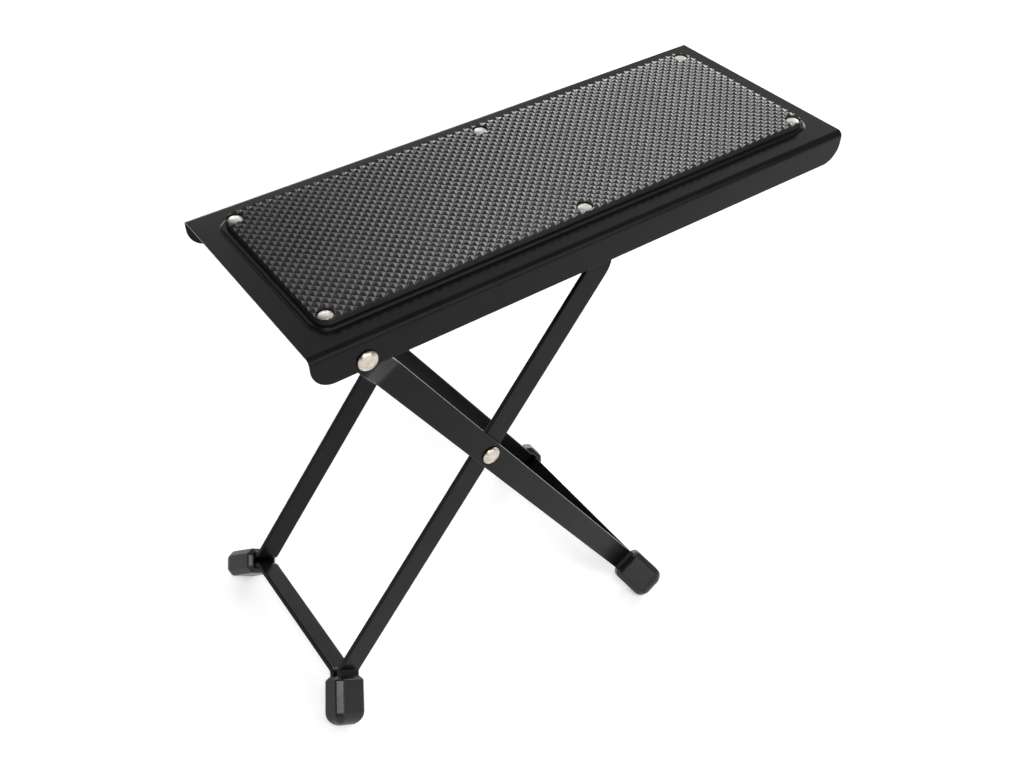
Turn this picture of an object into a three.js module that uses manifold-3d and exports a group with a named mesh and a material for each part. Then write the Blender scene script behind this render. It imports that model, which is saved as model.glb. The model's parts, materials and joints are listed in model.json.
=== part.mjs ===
// A folding guitar footrest: a pressed steel foot plate with a rubber mat, on two crossed frames
// of flat bar. Millimetres, +Z up. The plate's own frame has +X along the plate, +Y to the back
// and +Z out of its top face. The whole thing stands tilted on its four foot caps.
import * as THREE from 'three'
import { mergeVertices } from 'three/addons/utils/BufferGeometryUtils.js'
import Module from 'manifold-3d'

const wasm = await Module()
wasm.setup()

// Foot plate: one sheet bent down along both long sides
const plateLength = 300
const plateWidth = 118
const sheetThickness = 1.2
const flangeDepth = 17
const bendRadius = 3.5
const flangeCornerRadius = 10

// Raised panel pressed in the plate
const panelEndMargin = 9.1
const panelSideMargin = 10.3
const panelRise = 1.2
const panelWallSlope = 0.9
const panelCornerRadius = 9

// Rubber mat on the panel
const matEndMargin = 3.6
const matSideMargin = 1.9
const matThickness = 3.5
const matWallSlope = 0.5
const matCornerRadius = 6

// Square pyramids all over the mat, set cornerwise to its sides
const studPitch = 3.47
const studHeight = 1.3

// Mat rivets, counted in from the mat's edge. Each head sinks into a round seat in the mat.
const matRivetEndInset = 4.8
const matRivetSideInset = 4.9
const matRivetSeatDepth = 2.6
const matRivetSeatClearance = 0.3
const matRivetHeadDiameter = 7.2
const matRivetHeadHeight = 1.2
const matRivetShank = 3.4
const matRivetTailDiameter = 5.6
const matRivetTailHeight = 1.3

// Flat bar of both leg frames
const barWidth = 13
const barThickness = 2.5
const barBendRadius = 3
const earGap = 3
const earLength = 17

// Rivets and washers of the pivots
const pivotShank = 5
const pivotHeadDiameter = 9.6
const pivotHeadHeight = 2.3
const pivotTailDiameter = 7.4
const pivotTailHeight = 1.4
const spacerThickness = 0.6
const spacerDiameter = 11
const tailWasherThickness = 0.8
const tailWasherDiameter = 10
const shankClearance = 0.25
const seatGap = 0.3

// Linkage, in the plane through the long axis
const pivotFromEnd = 24.8
const pivotDrop = 11.5
const outerLegAngle = 57.45
const innerLegAngle = 51.2
const pivotToCross = 119.1
const crossToLeftFeet = 148.6
const crossToRightFeet = 182.6
const restBarTopDrop = 13.25
const frameTopBendRadius = 15

// Joggle that brings the outer frame's legs in from the flanges
const joggleStart = 9
const joggleLength = 14
const joggleStep = 4.4

// Height rack under the panel
const rackThickness = 1.5
const rackWidth = 50
const rackPitch = 18
const rackFromPanelEnd = 45.9
const rackTipClearance = 0.45
const rackNotchDepth = 6
const rackNotchFloor = 4.5
const rackNotchRamp = 5.5
const rackEndLand = 9

// Rubber foot caps: one wall over the flats of the folded ear, one over its edges
const capFlatWall = 3.1
const capEdgeWall = 3.45
const capDraft = 0.2
const capChamfer = 3.1
const capMouthBevel = 2.2
const capMouthLength = 2
const capFlatLength = 16.2
const capDome = 6.6
const capDomeAngle = 75
const capMouthSetback = 0.4
const capPocketClearance = 0.3

// Colours and finishes
const paintColour = 0x222224
const rubberColour = 0x2c2c2c
const matColour = 0x303031
const nickelColour = 0xcfc8bd
const zincColour = 0xa5a6a6

const arcSteps = 8
const domeSteps = 5
const roundSides = 20
const cutOverrun = 4
const pointTolerance = 0.001

// Sizes that follow from those above
const halfPlate = plateWidth / 2
const flangeInside = halfPlate - sheetThickness
const pivotX = pivotFromEnd - plateLength / 2
const outerAngle = THREE.MathUtils.degToRad(outerLegAngle)
const innerAngle = THREE.MathUtils.degToRad(innerLegAngle)
const crossX = pivotX + pivotToCross * Math.cos(outerAngle)
const crossDrop = pivotDrop + pivotToCross * Math.sin(outerAngle)
const topBarHalfRise = (barWidth * Math.cos(innerAngle) + barThickness * Math.sin(innerAngle)) / 2
const crossToTopBar = (crossDrop - restBarTopDrop - topBarHalfRise) / Math.sin(innerAngle)
const earHalfPitch = (earGap + barThickness) / 2
const barHalf = barThickness / 2
const capDepth = 2 * (earHalfPitch + barHalf + capFlatWall)
const capWidth = barWidth + 2 * capEdgeWall
const pivotLegOuter = flangeInside - seatGap - spacerThickness - seatGap
const outerLegOuter = pivotLegOuter - joggleStep
const innerLegOuter = outerLegOuter - barThickness - seatGap - spacerThickness - seatGap

const material = (colour, roughness, metalness) =>
  new THREE.MeshStandardMaterial({ color: colour, roughness, metalness })
const paint = () => material(paintColour, 0.42, 0.1)
const rubber = () => material(rubberColour, 0.75, 0)
const matRubber = () => material(matColour, 0.55, 0)
const nickel = () => material(nickelColour, 0.25, 1)
const zinc = () => material(zincColour, 0.4, 1)

// Closed three.js geometry to solid and back
function toSolid(geometry) {
  const bare = geometry.index ? geometry.toNonIndexed() : geometry.clone()
  bare.deleteAttribute('normal')
  bare.deleteAttribute('uv')
  const merged = mergeVertices(bare, pointTolerance / 2)
  return new wasm.Manifold(new wasm.Mesh({
    numProp: 3,
    vertProperties: new Float32Array(merged.attributes.position.array),
    triVerts: new Uint32Array(merged.index.array),
  }))
}

function toGeometry(solid) {
  const mesh = solid.getMesh()
  const points = new Float32Array(mesh.numVert * 3)
  for (let i = 0; i < mesh.numVert; i++) {
    for (let k = 0; k < 3; k++) points[i * 3 + k] = mesh.vertProperties[i * mesh.numProp + k]
  }
  const geometry = new THREE.BufferGeometry()
  geometry.setAttribute('position', new THREE.BufferAttribute(points, 3))
  geometry.setIndex(new THREE.BufferAttribute(new Uint32Array(mesh.triVerts), 1))
  geometry.computeVertexNormals()
  return geometry
}

function named(name, geometry, finish) {
  const mesh = new THREE.Mesh(geometry, finish)
  mesh.name = name
  return mesh
}

// An outline's points in the order that gives its area the wanted sign
const wound = (points, sign) =>
  THREE.ShapeUtils.area(points) * sign < 0 ? [...points].reverse() : points

// A prism of an outline, centred along X, Y or Z. The outline's pair of axes is the other two:
// (y, z) along X, (x, z) along Y and (x, y) along Z.
function prism(outline, depth, axis, holes = []) {
  const shape = new THREE.Shape(wound(outline, 1))
  for (const hole of holes) shape.holes.push(new THREE.Path(wound(hole, -1)))
  const geometry = new THREE.ExtrudeGeometry(shape, { depth, bevelEnabled: false })
  geometry.translate(0, 0, -depth / 2)
  if (axis === 'x') {
    const turn = new THREE.Matrix4().makeBasis(
      new THREE.Vector3(0, 1, 0), new THREE.Vector3(0, 0, 1), new THREE.Vector3(1, 0, 0))
    geometry.applyMatrix4(turn)
  }
  if (axis === 'y') geometry.rotateX(Math.PI / 2)
  return geometry
}

// A rod along Y, or along Z where upright, centred on the origin
function rod(diameter, length, upright = false) {
  const geometry = new THREE.CylinderGeometry(diameter / 2, diameter / 2, length, roundSides)
  if (upright) geometry.rotateX(Math.PI / 2)
  return geometry
}

// A polyline with rounded corners. Each corner is {at, radius}, and each sample that comes back
// holds a point and the direction of travel there.
function roundedPath(corners, closed) {
  const samples = []
  const count = corners.length
  const add = (at, dir) => {
    const last = samples[samples.length - 1]
    if (!last || last.at.distanceTo(at) > pointTolerance) samples.push({ at, dir })
  }
  corners.forEach((corner, i) => {
    const isEnd = !closed && (i === 0 || i === count - 1)
    const before = corners[(i + count - 1) % count].at
    const after = corners[(i + 1) % count].at
    if (isEnd) {
      const dir = i === 0 ? after.clone().sub(corner.at) : corner.at.clone().sub(before)
      add(corner.at.clone(), dir.normalize())
      return
    }
    const arrive = corner.at.clone().sub(before).normalize()
    const leave = after.clone().sub(corner.at).normalize()
    const turn = Math.atan2(arrive.cross(leave), arrive.dot(leave))
    const reach = corner.radius * Math.tan(Math.abs(turn) / 2)
    const start = corner.at.clone().addScaledVector(arrive, -reach)
    const side = new THREE.Vector2(-arrive.y, arrive.x).multiplyScalar(Math.sign(turn))
    const centre = start.clone().addScaledVector(side, corner.radius)
    const steps = Math.max(1, Math.round(arcSteps * Math.abs(turn) / (Math.PI / 2)))
    for (let k = 0; k <= steps; k++) {
      const dir = arrive.clone().rotateAround(new THREE.Vector2(), turn * k / steps)
      const out = new THREE.Vector2(dir.y, -dir.x).multiplyScalar(Math.sign(turn))
      add(centre.clone().addScaledVector(out, corner.radius), dir)
    }
  })
  return samples
}

const offsetSide = (samples, distance) =>
  samples.map(({ at, dir }) => new THREE.Vector2(at.x - dir.y * distance, at.y + dir.x * distance))

// Flat bar along a path in the XY plane, its width along Z
function bentBar(corners, closed) {
  const samples = roundedPath(corners, closed)
  const left = offsetSide(samples, barHalf)
  const right = offsetSide(samples, -barHalf)
  if (!closed) return prism([...left, ...right.reverse()], barWidth, 'z')
  const area = THREE.ShapeUtils.area(samples.map((sample) => sample.at))
  const [outside, inside] = area > 0 ? [right, left] : [left, right]
  return prism(outside, barWidth, 'z', [inside])
}

// Corner points of the ear folded out of the bar where a leg meets its bottom cross bar. legDir
// points down the leg and outDir from the middle of the cross bar to the leg.
function earCorners(corner, legDir, outDir) {
  const along = legDir.clone().add(outDir).normalize()
  const across = outDir.clone().sub(legDir).normalize()
  const bendBack = Math.SQRT2 * earHalfPitch
  const tip = corner.clone().addScaledVector(along, earLength)
  return [
    { at: corner.clone().addScaledVector(legDir, -bendBack), radius: barBendRadius },
    { at: tip.clone().addScaledVector(across, earHalfPitch), radius: earHalfPitch },
    { at: tip.clone().addScaledVector(across, -earHalfPitch), radius: earHalfPitch },
    { at: corner.clone().addScaledVector(outDir, -bendBack), radius: barBendRadius },
  ]
}

const mirrored = (corners) =>
  corners.map(({ at, radius }) => ({ at: new THREE.Vector2(at.x, -at.y), radius })).reverse()

const towardFront = new THREE.Vector2(0, -1)

// Rounded rectangle in the XY plane, as points that always come in the same number
function roundedRectangle(length, width, radius) {
  const points = []
  for (let quarter = 0; quarter < 4; quarter++) {
    const signX = quarter === 0 || quarter === 3 ? 1 : -1
    const signY = quarter < 2 ? 1 : -1
    for (let k = 0; k <= arcSteps; k++) {
      const angle = (quarter + k / arcSteps) * Math.PI / 2
      points.push(new THREE.Vector2(
        signX * (length / 2 - radius) + radius * Math.cos(angle),
        signY * (width / 2 - radius) + radius * Math.sin(angle)))
    }
  }
  return points
}

// Closed skin over a stack of like outlines, each given as {points, level} along Z
function loft(sections) {
  const count = sections[0].points.length
  const positions = []
  for (const { points, level } of sections) {
    for (const point of points) positions.push(point.x, point.y, level)
  }
  const index = []
  for (let s = 0; s < sections.length - 1; s++) {
    for (let k = 0; k < count; k++) {
      const a = s * count + k
      const b = s * count + (k + 1) % count
      index.push(a, b, b + count, a, b + count, a + count)
    }
  }
  const faces = THREE.ShapeUtils.triangulateShape(sections[0].points, [])
  const last = (sections.length - 1) * count
  for (const [a, b, c] of faces) index.push(c, b, a, last + a, last + b, last + c)
  const geometry = new THREE.BufferGeometry()
  geometry.setAttribute('position', new THREE.BufferAttribute(new Float32Array(positions), 3))
  geometry.setIndex(index)
  return geometry
}

const panelLength = plateLength - 2 * panelEndMargin
const panelWidth = plateWidth - 2 * panelSideMargin
const matLength = panelLength - 2 * matEndMargin
const matWidth = panelWidth - 2 * matSideMargin
const matBottom = panelRise + seatGap
const matTop = matBottom + matThickness
const matRivetX = matLength / 2 - matRivetEndInset
const matRivetY = matWidth / 2 - matRivetSideInset

const matRivetPlaces = []
for (const [side, y] of [['front', -matRivetY], ['rear', matRivetY]]) {
  for (const [end, x] of [['left', -matRivetX], ['middle', 0], ['right', matRivetX]]) {
    matRivetPlaces.push({ name: `mat_rivet_${side}_${end}`, x, y })
  }
}

const sides = [{ side: 'front', out: -1 }, { side: 'rear', out: 1 }]

function footPlate() {
  const halfSheet = sheetThickness / 2
  const flangeY = halfPlate - halfSheet
  const section = roundedPath([
    { at: new THREE.Vector2(-flangeY, -flangeDepth) },
    { at: new THREE.Vector2(-flangeY, -halfSheet), radius: bendRadius - halfSheet },
    { at: new THREE.Vector2(flangeY, -halfSheet), radius: bendRadius - halfSheet },
    { at: new THREE.Vector2(flangeY, -flangeDepth) },
  ], false)
  const outline = [...offsetSide(section, halfSheet), ...offsetSide(section, -halfSheet).reverse()]
  const channel = toSolid(prism(outline, plateLength, 'x'))
  // Side view that rounds the flanges' lower corners
  const profile = roundedPath([
    { at: new THREE.Vector2(-plateLength / 2, cutOverrun), radius: 0 },
    { at: new THREE.Vector2(-plateLength / 2, -flangeDepth), radius: flangeCornerRadius },
    { at: new THREE.Vector2(plateLength / 2, -flangeDepth), radius: flangeCornerRadius },
    { at: new THREE.Vector2(plateLength / 2, cutOverrun), radius: 0 },
  ], true).map((sample) => sample.at)
  const rounded = channel.intersect(toSolid(prism(profile, plateWidth + 2 * cutOverrun, 'y')))
  const step = (inset, level) => ({
    points: roundedRectangle(panelLength - 2 * inset, panelWidth - 2 * inset, panelCornerRadius - inset),
    level,
  })
  const raised = toSolid(loft([step(0, -halfSheet), step(0, 0), step(panelWallSlope, panelRise)]))
  const hollow = toSolid(loft([
    step(sheetThickness, -sheetThickness - cutOverrun),
    step(sheetThickness, -sheetThickness),
    step(sheetThickness + panelWallSlope, panelRise - sheetThickness),
  ]))
  let plate = rounded.add(raised).subtract(hollow)
  for (const { x, y } of matRivetPlaces) {
    const hole = rod(matRivetShank + 2 * shankClearance, 2 * flangeDepth, true).translate(x, y, 0)
    plate = plate.subtract(toSolid(hole))
  }
  const pivotHole = rod(pivotShank + 2 * shankClearance, plateWidth + 2 * cutOverrun)
  plate = plate.subtract(toSolid(pivotHole.translate(pivotX, 0, -pivotDrop)))
  return named('foot_plate', toGeometry(plate), paint())
}

// Slab with pyramids over its whole top, wider than the mat on every side and reaching below it
function studField() {
  const half = studPitch / Math.SQRT2
  const countX = Math.ceil(matLength / 2 / half) + 2
  const countY = Math.ceil(matWidth / 2 / half) + 2
  const low = matBottom - cutOverrun
  const triangles = []
  for (let i = -countX; i <= countX; i++) {
    for (let j = -countY; j <= countY; j++) {
      if ((i + j) % 2 !== 0) continue
      const tip = new THREE.Vector3(i * half, j * half, matTop)
      const around = [[1, 0], [0, 1], [-1, 0], [0, -1]].map(([stepX, stepY]) =>
        new THREE.Vector3((i + stepX) * half, (j + stepY) * half, matTop - studHeight))
      around.forEach((valley, k) => triangles.push([tip, valley, around[(k + 1) % around.length]]))
    }
  }
  // A wall goes down from each edge that only one triangle has
  const key = (point) => `${Math.round(point.x / half)} ${Math.round(point.y / half)}`
  const edges = new Map()
  for (const corners of triangles) {
    corners.forEach((from, k) => {
      const to = corners[(k + 1) % corners.length]
      edges.set(`${key(from)} ${key(to)}`, [from, to])
    })
  }
  const lowered = (point) => new THREE.Vector3(point.x, point.y, low)
  const skin = [...triangles, ...triangles.map(([a, b, c]) => [lowered(c), lowered(b), lowered(a)])]
  for (const [from, to] of edges.values()) {
    if (edges.has(`${key(to)} ${key(from)}`)) continue
    skin.push([to, from, lowered(from)], [to, lowered(from), lowered(to)])
  }
  return toSolid(new THREE.BufferGeometry().setFromPoints(skin.flat()))
}

function rubberMat() {
  const step = (inset, level) => ({
    points: roundedRectangle(matLength - 2 * inset, matWidth - 2 * inset, matCornerRadius - inset), level,
  })
  let mat = toSolid(loft([step(0, matBottom), step(matWallSlope, matTop)])).intersect(studField())
  const seatDiameter = matRivetHeadDiameter + 2 * matRivetSeatClearance
  const seatHeight = matRivetSeatDepth + cutOverrun
  for (const { x, y } of matRivetPlaces) {
    const hole = rod(matRivetShank + 2 * shankClearance, 2 * flangeDepth, true).translate(x, y, 0)
    const seat = rod(seatDiameter, seatHeight, true)
    seat.translate(x, y, matTop - matRivetSeatDepth + seatHeight / 2)
    mat = mat.subtract(toSolid(hole)).subtract(toSolid(seat))
  }
  return named('rubber_mat', toGeometry(mat), matRubber())
}

// A domed rivet about Z, its head's underside at zero and its shank down to the formed tail
function rivetGeometry(head, headHeight, shank, grip, tail, tailHeight) {
  const dome = new THREE.EllipseCurve(0, 0, head / 2, headHeight, 0, Math.PI / 2).getPoints(domeSteps)
  const rise = headHeight / 5
  const profile = [
    new THREE.Vector2(0, -grip - tailHeight),
    new THREE.Vector2(tail / 2 - tailHeight / 3, -grip - tailHeight),
    new THREE.Vector2(tail / 2, -grip - tailHeight * 2 / 3),
    new THREE.Vector2(tail / 2, -grip),
    new THREE.Vector2(shank / 2, -grip),
    new THREE.Vector2(shank / 2, 0),
    new THREE.Vector2(head / 2, 0),
    ...dome.map((point) => new THREE.Vector2(point.x, rise + point.y * (headHeight - rise) / headHeight)),
  ]
  profile[profile.length - 1].x = 0
  return new THREE.LatheGeometry(profile, roundSides).rotateX(Math.PI / 2)
}

function matRivets() {
  const grip = matThickness - matRivetSeatDepth + sheetThickness + 3 * seatGap
  return matRivetPlaces.map(({ name, x, y }) => {
    const geometry = rivetGeometry(
      matRivetHeadDiameter, matRivetHeadHeight, matRivetShank, grip, matRivetTailDiameter, matRivetTailHeight)
    const rivet = named(name, geometry, nickel())
    rivet.position.set(x, y, matTop - matRivetSeatDepth + seatGap)
    return rivet
  })
}

// Channel with saw-tooth notches in both webs, one notch for each height
function heightRack() {
  const top = panelRise - sheetThickness - seatGap
  const tip = rackTipClearance - restBarTopDrop
  const channel = [
    new THREE.Vector2(-rackWidth / 2, tip),
    new THREE.Vector2(rackThickness - rackWidth / 2, tip),
    new THREE.Vector2(rackThickness - rackWidth / 2, top - rackThickness),
    new THREE.Vector2(rackWidth / 2 - rackThickness, top - rackThickness),
    new THREE.Vector2(rackWidth / 2 - rackThickness, tip),
    new THREE.Vector2(rackWidth / 2, tip),
    new THREE.Vector2(rackWidth / 2, top),
    new THREE.Vector2(-rackWidth / 2, top),
  ]
  const firstWall = crossX + crossToTopBar * Math.cos(innerAngle)
    - (barWidth * Math.sin(innerAngle) - barThickness * Math.cos(innerAngle)) / 2 + barThickness / 2
  const left = firstWall - rackNotchFloor - rackNotchRamp - rackEndLand
  // As many notches as end short of the panel's right end
  const room = panelLength / 2 - rackFromPanelEnd - rackEndLand - firstWall
  const steps = Math.floor(room / rackPitch)
  const right = firstWall + steps * rackPitch + rackEndLand
  let rack = toSolid(prism(channel, right - left, 'x').translate((left + right) / 2, 0, 0))
  for (let k = 0; k <= steps; k++) {
    const wall = firstWall + k * rackPitch
    const notch = [
      new THREE.Vector2(wall, tip - cutOverrun),
      new THREE.Vector2(wall, tip + rackNotchDepth),
      new THREE.Vector2(wall - rackNotchFloor, tip + rackNotchDepth),
      new THREE.Vector2(wall - rackNotchFloor - rackNotchRamp, tip),
      new THREE.Vector2(wall - rackNotchFloor - rackNotchRamp, tip - cutOverrun),
    ]
    rack = rack.subtract(toSolid(prism(notch, rackWidth + 2 * cutOverrun, 'y')))
  }
  return named('height_rack', toGeometry(rack), paint())
}

// Frame plane: X down the leg from the plate pivot, Y to the back, Z across the bar's width
function outerLegFrame() {
  const pivotLine = pivotLegOuter - barHalf
  const legLine = outerLegOuter - barHalf
  const feetX = pivotToCross + crossToRightFeet
  const down = new THREE.Vector2(1, 0)
  const half = [
    { at: new THREE.Vector2(-barWidth / 2, -pivotLine) },
    { at: new THREE.Vector2(joggleStart, -pivotLine), radius: barBendRadius },
    { at: new THREE.Vector2(joggleStart + joggleLength, -legLine), radius: barBendRadius },
    ...earCorners(new THREE.Vector2(feetX, -legLine), down, towardFront),
  ]
  let frame = toSolid(bentBar([...half, ...mirrored(half)], false))
  // Round eyes at the pivot ends
  const eye = roundedPath([
    { at: new THREE.Vector2(-barWidth / 2, -barWidth / 2), radius: barWidth / 2 },
    { at: new THREE.Vector2(feetX + earLength + cutOverrun, -barWidth / 2), radius: 0 },
    { at: new THREE.Vector2(feetX + earLength + cutOverrun, barWidth / 2), radius: 0 },
    { at: new THREE.Vector2(-barWidth / 2, barWidth / 2), radius: barWidth / 2 },
  ], true).map((sample) => sample.at)
  frame = frame.intersect(toSolid(prism(eye, 2 * plateWidth, 'y')))
  for (const x of [0, pivotToCross]) {
    const hole = rod(pivotShank + 2 * shankClearance, plateWidth).translate(x, 0, 0)
    frame = frame.subtract(toSolid(hole))
  }
  return named('outer_leg_frame', toGeometry(frame), paint())
}

// Frame plane: X up the leg from the cross pivot, Y to the back, Z across the bar's width
function innerLegFrame() {
  const legLine = innerLegOuter - barHalf
  const down = new THREE.Vector2(-1, 0)
  const half = [
    { at: new THREE.Vector2(crossToTopBar, -legLine), radius: frameTopBendRadius },
    ...earCorners(new THREE.Vector2(-crossToLeftFeet, -legLine), down, towardFront),
  ]
  const ring = toSolid(bentBar([...half, ...mirrored(half)], true))
  const hole = rod(pivotShank + 2 * shankClearance, plateWidth)
  return named('inner_leg_frame', toGeometry(ring.subtract(toSolid(hole))), paint())
}

// Outline across a cap, a rectangle with broad chamfers, drawn in on every side by the inset
function capSection(inset, level) {
  const halfDepth = capDepth / 2 - inset
  const halfWidth = capWidth / 2 - inset
  const chamfer = Math.min(capChamfer, capChamfer * halfDepth * 2 / capDepth)
  const corners = []
  for (const [signX, signY] of [[1, 1], [-1, 1], [-1, -1], [1, -1]]) {
    const pair = [
      new THREE.Vector2(signX * halfDepth, signY * (halfWidth - chamfer)),
      new THREE.Vector2(signX * (halfDepth - chamfer), signY * halfWidth),
    ]
    corners.push(...(signX * signY > 0 ? pair : pair.reverse()))
  }
  return { points: corners, level }
}

// A cap about X, its mouth at zero and its domed tip along +X
function footCapGeometry() {
  const flatEnd = capMouthLength + capFlatLength
  const sections = [capSection(capMouthBevel, 0), capSection(0, capMouthLength)]
  const lastAngle = THREE.MathUtils.degToRad(capDomeAngle)
  for (let k = 0; k <= arcSteps; k++) {
    const angle = lastAngle * k / arcSteps
    const inset = capDepth / 2 * (1 - Math.cos(angle)) - capDraft / 2
    sections.push(capSection(inset, flatEnd + capDome * Math.sin(angle) / Math.sin(lastAngle)))
  }
  const body = toSolid(loft(sections))
  const pocketHalf = earHalfPitch + barHalf + capPocketClearance
  const pocketEnd = earLength + barHalf + capPocketClearance - capMouthSetback
  const pocket = roundedPath([
    { at: new THREE.Vector2(-pocketHalf, -cutOverrun), radius: 0 },
    { at: new THREE.Vector2(pocketHalf, -cutOverrun), radius: 0 },
    { at: new THREE.Vector2(pocketHalf, pocketEnd), radius: pocketHalf },
    { at: new THREE.Vector2(-pocketHalf, pocketEnd), radius: pocketHalf },
  ], true).map((sample) => sample.at)
  const cut = prism(pocket, barWidth + 2 * capPocketClearance, 'y')
  const turned = toGeometry(body.subtract(toSolid(cut)))
  // The axis goes from Z to X, the ear's layers lie in the XY plane
  return turned.applyMatrix4(new THREE.Matrix4().makeBasis(
    new THREE.Vector3(0, 1, 0), new THREE.Vector3(0, 0, 1), new THREE.Vector3(1, 0, 0)))
}

function footCap(name, corner, legSign, out) {
  const cap = named(name, footCapGeometry(), rubber())
  const along = new THREE.Vector2(legSign, out).normalize()
  cap.position.set(corner.x + along.x * capMouthSetback, corner.y + along.y * capMouthSetback, 0)
  cap.rotation.z = Math.atan2(along.y, along.x)
  return cap
}

function washer(name, diameter, thickness) {
  const hole = pivotShank / 2 + shankClearance
  const profile = [
    new THREE.Vector2(hole, -thickness / 2),
    new THREE.Vector2(diameter / 2, -thickness / 2),
    new THREE.Vector2(diameter / 2, thickness / 2),
    new THREE.Vector2(hole, thickness / 2),
    new THREE.Vector2(hole, -thickness / 2),
  ]
  return named(name, new THREE.LatheGeometry(profile, roundSides), zinc())
}

// Rivet with its head outward at a level on the Y axis and its grip inward
function pivotRivet(name, out, headLevel, grip) {
  const geometry = rivetGeometry(
    pivotHeadDiameter, pivotHeadHeight, pivotShank, grip, pivotTailDiameter, pivotTailHeight)
  const rivet = named(name, geometry.rotateX(-out * Math.PI / 2), nickel())
  rivet.position.y = out * headLevel
  return rivet
}

function plateRivetSet() {
  const group = new THREE.Group()
  const legInner = pivotLegOuter - barThickness
  for (const { side, out } of sides) {
    const headLevel = halfPlate + seatGap
    const tailLevel = legInner - tailWasherThickness - 2 * seatGap
    const spacer = washer(`plate_pivot_spacer_${side}`, spacerDiameter, spacerThickness)
    spacer.position.y = out * (flangeInside - seatGap - spacerThickness / 2)
    const tailWasher = washer(`plate_pivot_washer_${side}`, tailWasherDiameter, tailWasherThickness)
    tailWasher.position.y = out * (legInner - seatGap - tailWasherThickness / 2)
    const rivet = pivotRivet(`plate_pivot_rivet_${side}`, out, headLevel, headLevel - tailLevel)
    group.add(rivet, spacer, tailWasher)
  }
  return group
}

function crossRivetSet() {
  const group = new THREE.Group()
  const innerFace = innerLegOuter - barThickness
  for (const { side, out } of sides) {
    const headLevel = outerLegOuter + seatGap
    const tailLevel = innerFace - tailWasherThickness - 2 * seatGap
    const spacer = washer(`cross_pivot_spacer_${side}`, spacerDiameter, spacerThickness)
    spacer.position.y = out * (innerLegOuter + seatGap + spacerThickness / 2)
    const tailWasher = washer(`cross_pivot_washer_${side}`, tailWasherDiameter, tailWasherThickness)
    tailWasher.position.y = out * (innerFace - seatGap - tailWasherThickness / 2)
    const rivet = pivotRivet(`cross_pivot_rivet_${side}`, out, headLevel, headLevel - tailLevel)
    group.add(rivet, spacer, tailWasher)
  }
  return group
}

// The linkage in the plate's frame
const plateGroup = new THREE.Group()
plateGroup.add(footPlate(), rubberMat(), ...matRivets(), heightRack())

const pivotGroup = plateRivetSet()
pivotGroup.position.set(pivotX, 0, -pivotDrop)

const outerGroup = new THREE.Group()
outerGroup.position.set(pivotX, 0, -pivotDrop)
outerGroup.rotation.y = outerAngle
const crossRivets = crossRivetSet()
crossRivets.position.x = pivotToCross
outerGroup.add(outerLegFrame(), crossRivets)

const innerGroup = new THREE.Group()
innerGroup.position.set(crossX, 0, -crossDrop)
innerGroup.rotation.y = -innerAngle
innerGroup.add(innerLegFrame())

const caps = { left: [], right: [] }
for (const { side, out } of sides) {
  const rightCorner = new THREE.Vector2(pivotToCross + crossToRightFeet, out * (outerLegOuter - barHalf))
  const leftCorner = new THREE.Vector2(-crossToLeftFeet, out * (innerLegOuter - barHalf))
  const right = footCap(`foot_cap_${side}_right`, rightCorner, 1, out)
  const left = footCap(`foot_cap_${side}_left`, leftCorner, -1, out)
  outerGroup.add(right)
  innerGroup.add(left)
  caps.right.push(right)
  caps.left.push(left)
}

const stand = new THREE.Group()
stand.add(plateGroup, pivotGroup, outerGroup, innerGroup)

// Tilt the stand until the caps of both frames touch one level floor
const footrest = new THREE.Group()
footrest.add(stand)

function lowestPoint(meshes) {
  const lowest = new THREE.Vector3(0, 0, Infinity)
  footrest.updateMatrixWorld(true)
  for (const mesh of meshes) {
    const positions = mesh.geometry.attributes.position
    for (let i = 0; i < positions.count; i++) {
      const point = new THREE.Vector3().fromBufferAttribute(positions, i).applyMatrix4(mesh.matrixWorld)
      if (point.z < lowest.z) lowest.copy(point)
    }
  }
  return lowest
}

const settleRounds = 8
for (let round = 0; round < settleRounds; round++) {
  const left = lowestPoint(caps.left)
  const right = lowestPoint(caps.right)
  stand.rotation.y += Math.atan2(right.z - left.z, right.x - left.x)
}
footrest.updateMatrixWorld(true)
const box = new THREE.Box3().setFromObject(footrest, true)
const centre = box.getCenter(new THREE.Vector3())
stand.position.set(-centre.x, -centre.y, -box.min.z)

export default footrest
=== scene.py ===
"""Looks of a folding guitar footrest: pressed steel plate, studded rubber mat, flat-bar legs, rubber caps.

Sizes are in millimetres and the scene is in metres. Each piece is built flat in the plane of what
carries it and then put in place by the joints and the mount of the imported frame.
"""
import json
import math

import bmesh
import bpy
from mathutils import Matrix, Vector

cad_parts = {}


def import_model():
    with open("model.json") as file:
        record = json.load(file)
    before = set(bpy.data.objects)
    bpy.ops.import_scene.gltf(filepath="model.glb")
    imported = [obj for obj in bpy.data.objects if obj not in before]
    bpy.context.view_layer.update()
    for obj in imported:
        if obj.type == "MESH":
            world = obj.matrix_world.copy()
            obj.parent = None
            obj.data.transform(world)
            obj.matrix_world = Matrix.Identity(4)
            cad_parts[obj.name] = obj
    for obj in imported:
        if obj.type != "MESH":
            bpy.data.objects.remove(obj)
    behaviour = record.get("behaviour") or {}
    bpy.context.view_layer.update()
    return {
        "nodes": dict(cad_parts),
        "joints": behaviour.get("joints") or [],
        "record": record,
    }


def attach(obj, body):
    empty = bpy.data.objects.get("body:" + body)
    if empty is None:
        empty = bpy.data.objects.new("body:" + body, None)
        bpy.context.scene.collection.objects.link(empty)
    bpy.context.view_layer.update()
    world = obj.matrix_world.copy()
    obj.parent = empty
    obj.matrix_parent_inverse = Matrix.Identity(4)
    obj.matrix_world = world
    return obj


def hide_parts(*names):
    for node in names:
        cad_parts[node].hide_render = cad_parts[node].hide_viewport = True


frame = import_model()

MM = 0.001

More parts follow.
